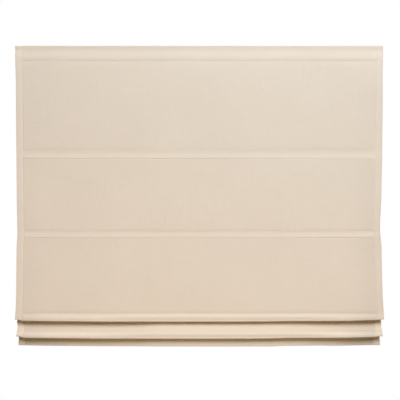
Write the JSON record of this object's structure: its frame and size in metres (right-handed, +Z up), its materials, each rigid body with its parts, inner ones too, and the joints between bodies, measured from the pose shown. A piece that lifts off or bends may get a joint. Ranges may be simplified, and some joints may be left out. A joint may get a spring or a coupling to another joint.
{
  "type": "roman blind",
  "caption": "Partly raised roman blind: flat cloth with sewn rod pockets and drawn-up folds on a head rail with a cordless spring lift and wall brackets.",
  "frame": {"origin": "middle of the wall screw pattern, on the wall's face", "axes": "+X along the rail to the right as seen from the room, +Y into the wall, +Z up"},
  "size_m": [1.2, 0.0635, 0.987],
  "materials": {
    "cloth": "woven",
    "tape": "hook and loop",
    "rail": "satin",
    "bar": "satin",
    "shaft": "drawn",
    "steel": "zinc plated",
    "plastic": "moulded",
    "clear_plastic": "moulded",
    "rod": "fibreglass"
  },
  "bodies": {
    "blind": {"fabric_panel": "cloth", "rod_pocket_1": "cloth", "rod_pocket_2": "cloth", "rod_pocket_3": "cloth", "rod_pocket_4": "cloth", "fold_rod_1": "rod", "fold_rod_2": "rod", "fold_rod_3": "rod", "fold_rod_4": "rod", "rod_end_caps": "clear_plastic", "bottom_bar": "bar", "bottom_bar_caps": "clear_plastic", "headrail": "rail", "end_cap_left": "plastic", "end_cap_right": "plastic", "hook_strip": "tape", "loop_strip": "tape", "wall_bracket_left": "steel", "wall_bracket_right": "steel", "bracket_rivets": "steel", "drum_cradle_left": "plastic", "drum_cradle_centre": "plastic", "drum_cradle_right": "plastic", "motor_case": "steel", "motor_cover": "steel", "motor_screws": "steel", "lift_spring": "steel", "cord_rings_left": "clear_plastic", "cord_rings_centre": "clear_plastic", "cord_rings_right": "clear_plastic"},
    "shaft": {"lift_shaft": "shaft", "shaft_bushes": "plastic", "cord_drum_left": "plastic", "cord_drum_centre": "plastic", "cord_drum_right": "plastic", "spring_arbor": "plastic"},
    "lever_left": {"cam_lever_left": "plastic"},
    "lever_right": {"cam_lever_right": "plastic"}
  },
  "joints": [
    {"name": "shaft_turn", "type": "hinge", "parent": "blind", "child": "shaft", "pos_m": [0, -0.0364, -0.00755], "axis": [1, 0, 0], "range_deg": [-2760, 3120]},
    {"name": "lever_left_turn", "type": "hinge", "parent": "blind", "child": "lever_left", "pos_m": [-0.4, -0.033, 0.0185], "axis": [0, 0, 1], "range_deg": [0, 90]},
    {"name": "lever_right_turn", "type": "hinge", "parent": "blind", "child": "lever_right", "pos_m": [0.4, -0.033, 0.0185], "axis": [0, 0, 1], "range_deg": [0, 90]}
  ]
}
